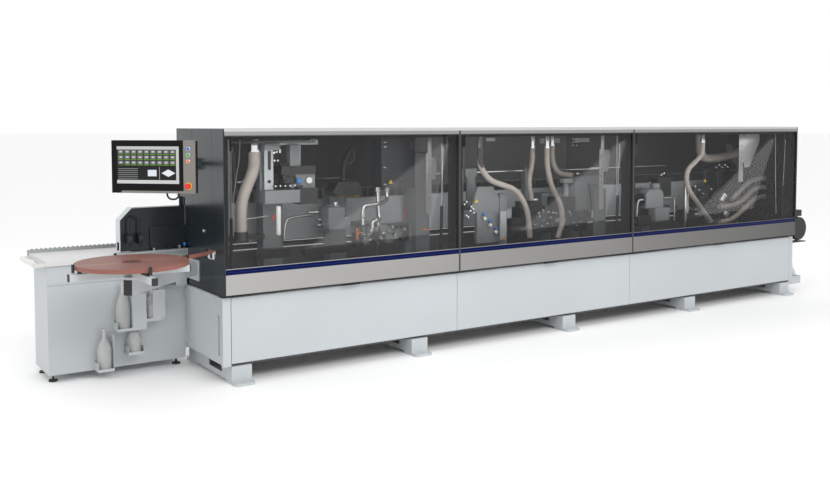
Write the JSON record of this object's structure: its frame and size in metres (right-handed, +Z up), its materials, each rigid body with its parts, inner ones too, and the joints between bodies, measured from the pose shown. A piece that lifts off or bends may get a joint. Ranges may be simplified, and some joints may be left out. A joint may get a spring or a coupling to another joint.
{
  "type": "edge banding machine",
  "caption": "Through-feed edge banding machine with glazed lifting hood doors, a pale base on foot beams, an infeed table, an edging coil and a swivelling operator panel.",
  "frame": {"origin": "on the floor, in the middle of the front anchor hole of the leftmost foot", "axes": "+X along the feed from infeed to outfeed, +Y from the operator's side to the back, +Z up"},
  "size_m": [8.622, 1.944, 1.965],
  "materials": {
    "pale_paint": "satin",
    "white_paint": "satin",
    "anthracite_paint": "gloss",
    "dark_steel": "satin",
    "bed_paint": "satin",
    "mid_grey": "satin",
    "strip_aluminium": "brushed",
    "smoked_glass": "gloss",
    "bright_steel": "bright",
    "strut_black": "satin",
    "beam_aluminium": "matte",
    "belt_rubber": "matte",
    "black_plastic": "matte",
    "coil_edging": "satin",
    "band_edging": "satin",
    "panel_black": "gloss",
    "panel_greige": "satin",
    "blue_plastic": "gloss",
    "green_plastic": "gloss",
    "orange_plastic": "gloss",
    "red_plastic": "gloss",
    "frosted_plastic": "frosted",
    "holder_steel": "satin",
    "glue_white": "satin",
    "hose_plastic": "satin",
    "felt_white": "soft",
    "roller_white": "satin"
  },
  "bodies": {
    "frame": {"feet": "pale_paint", "machine_bed": "bed_paint", "feed_chain": "dark_steel", "outfeed_drum": "black_plastic", "base_panels": "pale_paint", "base_end_covers": "pale_paint", "hood_left_side": "anthracite_paint", "hood_right_side": "anthracite_paint", "hood_roof": "white_paint", "hood_back": "anthracite_paint", "hood_frame": "dark_steel", "bracket_strips": "bright_steel", "infeed_cabinet": "pale_paint", "levelling_feet": "black_plastic", "infeed_table": "white_paint", "infeed_fence": "beam_aluminium", "guide_rail": "beam_aluminium", "coil_stand": "pale_paint", "black_caps": "black_plastic", "edging_band": "band_edging", "bottle_holders": "holder_steel", "bottles": "frosted_plastic", "unit_plates": "mid_grey", "unit_motors": "dark_steel", "glue_unit": "glue_white", "dust_hoses": "hose_plastic", "steel_fittings": "bright_steel"},
    "side_door": {"base_side_door": "pale_paint"},
    "door_left": {"door_left_frame": "strip_aluminium", "door_left_glass": "smoked_glass"},
    "door_middle": {"door_middle_frame": "strip_aluminium", "door_middle_glass": "smoked_glass"},
    "door_right": {"door_right_frame": "strip_aluminium", "door_right_glass": "smoked_glass"},
    "tubes_left": {"strut_tubes_left": "strut_black"},
    "tubes_middle": {"strut_tubes_middle": "strut_black"},
    "tubes_right": {"strut_tubes_right": "strut_black"},
    "rods_left": {"strut_rods_left": "bright_steel"},
    "rods_middle": {"strut_rods_middle": "bright_steel"},
    "rods_right": {"strut_rods_right": "bright_steel"},
    "pressure": {"pressure_beam": "beam_aluminium", "beam_guard": "anthracite_paint", "pressure_belt": "belt_rubber", "ear_defenders": "black_plastic"},
    "coil": {"edging_coil": "coil_edging"},
    "arm": {"panel_arm": "dark_steel"},
    "panel": {"panel_shell": "anthracite_paint", "panel_face": "panel_black", "panel_trim": "panel_greige", "panel_cable": "black_plastic"},
    "blue_button": {"button_blue": "blue_plastic"},
    "green_button": {"button_green": "green_plastic"},
    "orange_button": {"button_orange": "orange_plastic"},
    "stop_button": {"estop_button": "red_plastic"},
    "drive_wheel": {"drive_sprocket": "bright_steel"},
    "idler_wheel": {"idler_sprocket": "bright_steel"},
    "glue_wheel": {"glue_roller": "bright_steel"},
    "felt_wheel": {"buffing_wheel": "felt_white"},
    "table_roller": {"end_roller": "roller_white"},
    "saws": {"end_trim_saws": "mid_grey"}
  },
  "joints": [
    {"name": "side_door_hinge", "type": "hinge", "parent": "frame", "child": "side_door", "pos_m": [-0.152, 0.84, 0.4], "axis": [0, 0, -1], "range_deg": [0, 60]},
    {"name": "door_left_lift", "type": "hinge", "parent": "frame", "child": "door_left", "pos_m": [0, 0, 1.94], "axis": [-1, 0, 0], "range_deg": [0, 80]},
    {"name": "strut_left_tilt", "type": "hinge", "parent": "frame", "child": "tubes_left", "pos_m": [0, 0.1, 0.8], "axis": [1, 0, 0], "range_deg": [0, 9.45]},
    {"name": "strut_left_rod", "type": "slide", "parent": "tubes_left", "child": "rods_left", "axis": [0, -0.0396, 0.9992], "range_m": [0, 0.0707]},
    {"name": "door_middle_lift", "type": "hinge", "parent": "frame", "child": "door_middle", "pos_m": [0, 0, 1.94], "axis": [-1, 0, 0], "range_deg": [0, 80]},
    {"name": "strut_middle_tilt", "type": "hinge", "parent": "frame", "child": "tubes_middle", "pos_m": [0, 0.1, 0.8], "axis": [1, 0, 0], "range_deg": [0, 9.45]},
    {"name": "strut_middle_rod", "type": "slide", "parent": "tubes_middle", "child": "rods_middle", "axis": [0, -0.0396, 0.9992], "range_m": [0, 0.0707]},
    {"name": "door_right_lift", "type": "hinge", "parent": "frame", "child": "door_right", "pos_m": [0, 0, 1.94], "axis": [-1, 0, 0], "range_deg": [0, 80]},
    {"name": "strut_right_tilt", "type": "hinge", "parent": "frame", "child": "tubes_right", "pos_m": [0, 0.1, 0.8], "axis": [1, 0, 0], "range_deg": [0, 9.45]},
    {"name": "strut_right_rod", "type": "slide", "parent": "tubes_right", "child": "rods_right", "axis": [0, -0.0396, 0.9992], "range_m": [0, 0.0707]},
    {"name": "pressure_beam_lift", "type": "slide", "parent": "frame", "child": "pressure", "axis": [0, 0, 1], "range_m": [0, 0.05]},
    {"name": "coil_spin", "type": "hinge", "parent": "frame", "child": "coil", "pos_m": [-0.84, 0.02, 1.005], "axis": [0, 0, 1], "continuous": true},
    {"name": "panel_arm_swing", "type": "hinge", "parent": "frame", "child": "arm", "pos_m": [-0.215, 0.64, 1.68], "axis": [0, 0, 1], "range_deg": [-45, 6]},
    {"name": "panel_turn", "type": "hinge", "parent": "arm", "child": "panel", "pos_m": [-0.4972, 0.39061, 1.68], "axis": [0, 0, 1], "range_deg": [-30, 12]},
    {"name": "blue_press", "type": "slide", "parent": "panel", "child": "blue_button", "axis": [0.698, 0.7161, 0], "range_m": [0, 0.004], "stiffness_N_per_m": 400},
    {"name": "green_press", "type": "slide", "parent": "panel", "child": "green_button", "axis": [0.698, 0.7161, 0], "range_m": [0, 0.004], "stiffness_N_per_m": 400},
    {"name": "orange_press", "type": "slide", "parent": "panel", "child": "orange_button", "axis": [0.698, 0.7161, 0], "range_m": [0, 0.004], "stiffness_N_per_m": 400},
    {"name": "stop_press", "type": "slide", "parent": "panel", "child": "stop_button", "axis": [0.698, 0.7161, 0], "range_m": [0, 0.005], "stiffness_N_per_m": 800},
    {"name": "drive_spin", "type": "hinge", "parent": "frame", "child": "drive_wheel", "pos_m": [7.1, 0.9, 0.8239], "axis": [0, 1, 0], "continuous": true},
    {"name": "idler_spin", "type": "hinge", "parent": "frame", "child": "idler_wheel", "pos_m": [-0.58, 0.9, 0.8239], "axis": [0, 1, 0], "continuous": true},
    {"name": "glue_roller_spin", "type": "hinge", "parent": "frame", "child": "glue_wheel", "pos_m": [1.48, 0.785, 1], "axis": [0, 0, 1], "continuous": true},
    {"name": "buffing_spin", "type": "hinge", "parent": "frame", "child": "felt_wheel", "pos_m": [6.26, 0.786, 0.95], "axis": [0, 0, 1], "continuous": true},
    {"name": "end_roller_spin", "type": "hinge", "parent": "frame", "child": "table_roller", "pos_m": [-1.318, 1.1, 0.922], "axis": [0, 1, 0], "continuous": true},
    {"name": "end_trim_slide", "type": "slide", "parent": "frame", "child": "saws", "axis": [1, 0, 0], "range_m": [0, 0.5]}
  ],
  "couplings": [
    {"joint": "strut_left_tilt", "follows": "door_left_lift", "ratio": 0.11688},
    {"joint": "strut_left_rod", "follows": "door_left_lift", "m_per_rad": 0.04991},
    {"joint": "strut_middle_tilt", "follows": "door_middle_lift", "ratio": 0.11688},
    {"joint": "strut_middle_rod", "follows": "door_middle_lift", "m_per_rad": 0.04991},
    {"joint": "strut_right_tilt", "follows": "door_right_lift", "ratio": 0.11688},
    {"joint": "strut_right_rod", "follows": "door_right_lift", "m_per_rad": 0.04991},
    {"joint": "idler_spin", "follows": "drive_spin", "ratio": 1}
  ]
}
